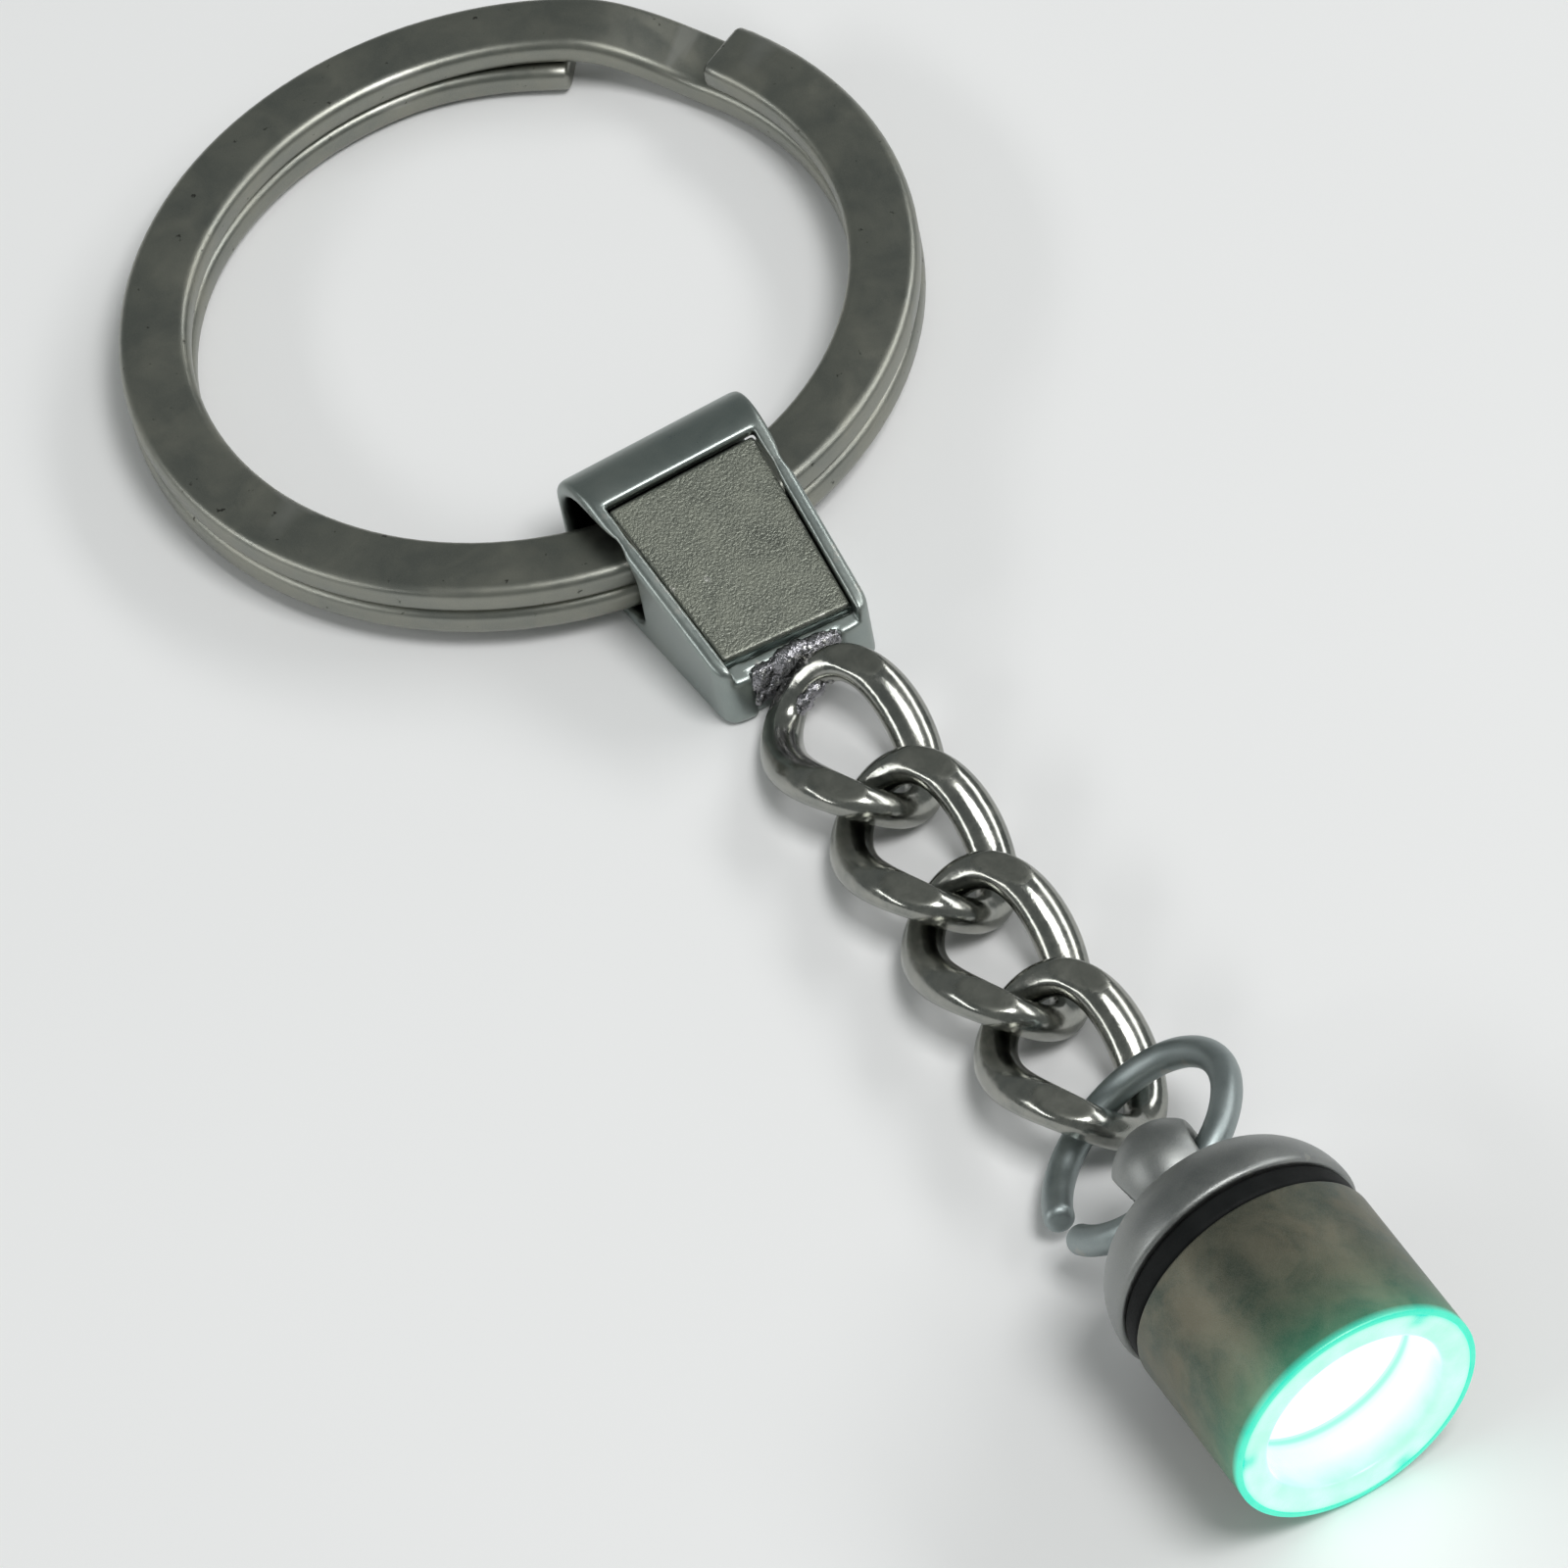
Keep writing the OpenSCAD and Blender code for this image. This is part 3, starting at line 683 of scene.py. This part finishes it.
def build_jump_ring():
    toward_eye = (EYE - JUMP_FAR) / np.linalg.norm(EYE - JUMP_FAR)
    centre = JUMP_FAR + toward_eye * JUMP_R
    flat = np.array([math.cos(JUMP_TURN), math.sin(JUMP_TURN), 0.0])
    first = flat * math.cos(JUMP_LEAN) - UP * math.sin(JUMP_LEAN)
    normal = flat * math.sin(JUMP_LEAN) + UP * math.cos(JUMP_LEAN)
    second = np.cross(normal, first)
    start, total = JUMP_GAP_AT + JUMP_GAP / 2, 360 - JUMP_GAP
    phase = np.linspace(0, 2 * math.pi, 24, endpoint=False)[:, None]
    caps = soft_ends(JUMP_R, JUMP_SOFT, (0, 20, 40, 60, 80))
    stations = caps + [(a, 0.0) for a in np.arange(6, total - 5, 2.5)]
    stations += [(total - d, inset) for d, inset in reversed(caps)]
    rings = []
    for a, inset in stations:
        angle = math.radians(start + a)
        out = first * math.cos(angle) + second * math.sin(angle)
        r = JUMP_WIRE / 2 - inset
        rings.append(centre + out * JUMP_R + r * (np.cos(phase) * out + np.sin(phase) * normal))
    verts, faces = loft(rings, False, True)
    piece("jump_ring_wire", verts, faces, "jump", ["jump_ring"], JUMP_METAL)


# ---------- light ----------

CAP_R, BARREL_R, BARREL_LEN = 4.7, 4.62, 6.4
CAP_FRONT, CAP_BACK, SHOULDER_R = 7.35, 10.6, 2.8
DOME_R, DOME_RISE = 14, 0.25
BALL_R, BALL_AT, EYE_R, EYE_AT = 1.95, 11.85, 1.15, 11.67
NECK_R, NECK_FROM, NECK_TO = 4.02, 5.0, 7.8
CAVITY_R, CAVITY_BACK = 3.4 + 0.2, 9.0
SEAT_R, BAND_THICK = NECK_R + 0.01, 0.5
GUIDE_R, GUIDE_LEN, BORE_R = 4.4, 3.1, 4.06
FACE_BORE, FACE_RECESS = 3.38, 2.4
FACE_INSET, FACE_LIP = 0.02, 0.22
COLLAR_R = GUIDE_R - 0.02
# Dark notches on the lit ring and the side of its recess painted brighter as the lit side, in degrees round
# the light.
NOTCHES_AT, NOTCH_HALF, BRIGHT_SIDE = (40, 160, -80), 5, 127
LENS_R, LENS_BACK = FACE_BORE - 0.02, FACE_RECESS + 0.65


def cap_field(p):
    x, y, z = p[..., 0], p[..., 1], p[..., 2]
    r = np.hypot(x, y)
    qr, qz = r - (CAP_R - SHOULDER_R), z - (CAP_BACK - DOME_RISE - SHOULDER_R)
    shoulder = np.hypot(np.maximum(qr, 0), np.maximum(qz, 0)) + np.minimum(np.maximum(qr, qz), 0) - SHOULDER_R
    dome = np.sqrt(r ** 2 + (z - (CAP_BACK - DOME_R)) ** 2) - DOME_R
    body = smax(smax(shoulder, dome, 0.5), CAP_FRONT - z, 0.22)
    ball = np.sqrt(r ** 2 + (z - BALL_AT) ** 2) - BALL_R
    body = smin(body, ball, 0.5)
    neck = np.maximum(r - NECK_R, np.maximum(NECK_FROM - z, z - NECK_TO))
    body = np.minimum(body, neck)
    axis = LAMP_ROWS @ EYE_AXIS
    u, v = p @ np.array([axis[1], -axis[0], 0.0]), z - EYE_AT
    body = smax(body, -(np.hypot(u, v) - EYE_R), 0.25)
    cavity = np.maximum(r - CAVITY_R, z - CAVITY_BACK)
    return np.maximum(body, -cavity)


def build_cap():
    verts, faces = surface(cap_field, (-4.9, -4.9, 4.8), (4.9, 4.9, 14.0), 0.095)
    piece("cap_with_ball", lamp(verts), faces, "cap", ["end_cap"], CAP_METAL)

    front, back = BARREL_LEN + 0.04, CAP_FRONT - 0.03
    verts, faces = lathe(rounded([(SEAT_R, front, 0.1), (SEAT_R + BAND_THICK, front, 0.2),
                                  (SEAT_R + BAND_THICK, back, 0.2), (SEAT_R, back, 0.1)]))
    piece("o_ring_band", lamp(verts), faces, "cap", ["o_ring"], rubber_material())


def stations_along(radius, places):
    """Extra points on a straight stretch of a lathe outline, so that a glow can fade along it."""
    return [(radius, z, 0) for z in places]


def build_barrel():
    step = GUIDE_LEN + 0.02
    outline = rounded([(GUIDE_R, 0.0, 0.03), (BARREL_R, 0.0, 0.1),
                       *stations_along(BARREL_R, (0.35, 0.9, 1.6, 2.6, 4.0)), (BARREL_R, BARREL_LEN, 0.12),
                       (BORE_R, BARREL_LEN, 0.05), (BORE_R, step, 0.02), (GUIDE_R, step, 0.02)])
    verts, faces = lathe(outline)
    # Painted light: masks for the cyan glow painted on the barrel's front edge and on its outside near the
    # front.
    rim = 1 - smooth((verts[:, 2] - 0.02) / 0.22)
    painted_glow_spill = np.exp(-verts[:, 2] / 1.1) * (np.hypot(verts[:, 0], verts[:, 1]) > BORE_R + 0.1)
    piece("barrel_tube", lamp(verts), faces, "barrel", ["barrel"], barrel_material(),
          {"rim": rim, "painted_glow_spill": painted_glow_spill})


def build_face():
    """The lit ring and the window at the bottom of its recess."""
    across = [(r, FACE_INSET, 0) for r in (3.75, 4.05, 4.2, 4.3)]
    down_recess = (2.42, 2.34, 2.24, 2.12, 1.9, 1.2, 0.7)
    outline = rounded([(FACE_BORE, FACE_INSET, FACE_LIP), *across, (COLLAR_R, FACE_INSET, 0.02),
                       (COLLAR_R, GUIDE_LEN, 0.05), (FACE_BORE, GUIDE_LEN, 0.05),
                       *stations_along(FACE_BORE, down_recess)])
    verts, faces = lathe(outline, 240)
    r, z = np.hypot(verts[:, 0], verts[:, 1]), verts[:, 2]
    turn = np.degrees(np.arctan2(verts[:, 1], verts[:, 0]))
    notch = sum(np.exp(-(((turn - a + 180) % 360 - 180) / NOTCH_HALF) ** 2) for a in NOTCHES_AT)
    rim = np.clip(0.35 * smooth((r - 4.25) / 0.12) + 0.75 * notch * smooth((r - 3.8) / 0.3), 0, 1)
    # Painted light: the recess wall is painted whiter deeper in and on the side towards BRIGHT_SIDE; the
    # crease at the recess bottom is painted deep cyan as painted shade.
    lit_side = np.clip(0.55 + 0.6 * np.cos(np.radians(turn - BRIGHT_SIDE)), 0.2, 1)
    white = smooth((z - 0.25) / 0.9) * lit_side
    crease = np.exp(-((z - FACE_RECESS + 0.1) / 0.16) ** 2) * (r < FACE_BORE + 0.05)
    piece("diffuser_collar", lamp(verts), faces, "barrel", ["diffuser_ring"],
          diffuser_material(), {"rim": np.clip(rim + 0.7 * crease, 0, 1), "white": white})

    middle = 0.001
    verts, faces = lathe(rounded([(middle, FACE_RECESS, 0), (LENS_R - 0.6, FACE_RECESS, 0),
                                  (LENS_R, FACE_RECESS + 0.06, 0.05), (LENS_R, LENS_BACK, 0.05),
                                  (middle, LENS_BACK, 0)]))
    piece("lens_window", lamp(verts), faces, "barrel", ["lens_disc"], lens_material())


def dress_inner_parts():
    """Detailed finishes for the CAD nodes that stay: the light engine, cells and spring."""
    finishes = {
        "reflector": plain_material("reflector_white", (0.78, 0.8, 0.8), (0.9, 0.92, 0.92), 0.0, 0.2),
        "led_package": plain_material("led_white", (0.8, 0.8, 0.76), (0.92, 0.92, 0.88), 0.0, 0.35),
        "led_board": plain_material("board_green", (0.03, 0.16, 0.08), (0.06, 0.26, 0.13), 0.0, 0.3),
        "board_rivet": plain_material("rivet_brass", (0.6, 0.45, 0.18), (0.8, 0.65, 0.3), 1.0, 0.3),
        "cell_sleeve": plain_material("sleeve_film", (0.8, 0.8, 0.74), (0.9, 0.9, 0.86), 0.0, 0.4),
        "contact_spring": plain_material("spring_plated", (0.5, 0.47, 0.4), (0.68, 0.65, 0.56), 1.0, 0.25),
        "led_phosphor": lens_material(),
    }
    can = plain_material("cell_can_steel", (0.5, 0.5, 0.48), (0.68, 0.68, 0.66), 1.0, 0.22)
    finishes["cell_1"] = finishes["cell_2"] = can
    for node, material in finishes.items():
        mesh = frame["nodes"][node]
        if not mesh.material_slots:
            mesh.data.materials.append(material)
        for place in mesh.material_slots:
            place.material = material


# ---------- stage ----------

# Stage lengths are in metres.
FLOOR_REACH, FLOOR_AT = 3.0, -2e-5
WORLD_COLOUR = (0.22, 0.235, 0.23, 1)
# Name, place, size and watts of each area light; all of them face the origin.
LIGHTS = [("overhead", (0.25, 0.15, 0.6), (0.25, 0.25), 2.3),
          ("left_strip", (-0.1, -0.55, 0.3), (0.5, 0.1), 0.8),
          ("back_strip", (0.0, 0.5, 0.35), (0.6, 0.12), 1.1)]
CAMERA_AT = (0.199867, -0.064679, 0.256547)
CAMERA_RIGHT, CAMERA_UP = (0.4479, 0.8846, -0.1299), (-0.6611, 0.4255, 0.6180)
CAMERA_BACK = (0.60193, -0.19094, 0.77539)


def stand(obj, right, up, back, at):
    """Puts a light or camera at a place, with its own three axes along the given directions."""
    obj.matrix_world = Matrix([[right[i], up[i], back[i], at[i]] for i in range(3)] + [[0, 0, 0, 1]])
    bpy.context.scene.collection.objects.link(obj)


def area_light(name, at, size, watts):
    light = bpy.data.lights.new(name, "AREA")
    light.shape, light.size, light.size_y = "RECTANGLE", size[0], size[1]
    light.energy = watts
    at = np.array(at, float)
    back = at / np.linalg.norm(at)
    right = np.cross(UP, back)
    right /= np.linalg.norm(right)
    stand(bpy.data.objects.new(name, light), right, np.cross(back, right), back, at)


def build_stage():
    mesh = bpy.data.meshes.new("floor")
    corners = [(-1, -1), (1, -1), (1, 1), (-1, 1)]
    mesh.from_pydata([(x * FLOOR_REACH, y * FLOOR_REACH, FLOOR_AT) for x, y in corners], [], [(0, 1, 2, 3)])
    n = Nodes("floor_pale")
    tone = n.mix(n.noise(40.0, 3.0), (0.86, 0.86, 0.86), (0.9, 0.9, 0.9))
    mesh.materials.append(n.finish(colour=tone, rough=0.6))
    floor = bpy.data.objects.new("floor", mesh)
    bpy.context.scene.collection.objects.link(floor)

    world = bpy.data.worlds.new("studio")
    world.use_nodes = True
    world.node_tree.nodes["Background"].inputs["Color"].default_value = WORLD_COLOUR
    world.node_tree.nodes["Background"].inputs["Strength"].default_value = 1.0
    bpy.context.scene.world = world
    for name, at, size, watts in LIGHTS:
        area_light(name, at, size, watts)

    camera = bpy.data.cameras.new("photo_view")
    camera.sensor_width, camera.lens = 36.0, 213.75
    camera.clip_start, camera.clip_end = 0.01, 20.0
    obj = bpy.data.objects.new("photo_view", camera)
    stand(obj, CAMERA_RIGHT, CAMERA_UP, CAMERA_BACK, CAMERA_AT)
    bpy.context.scene.camera = obj
    bpy.context.scene.view_settings.view_transform = "Standard"


build_split_ring()
build_connector()
build_solder()
build_links()
build_jump_ring()
build_cap()
build_barrel()
build_face()
dress_inner_parts()
build_stage()
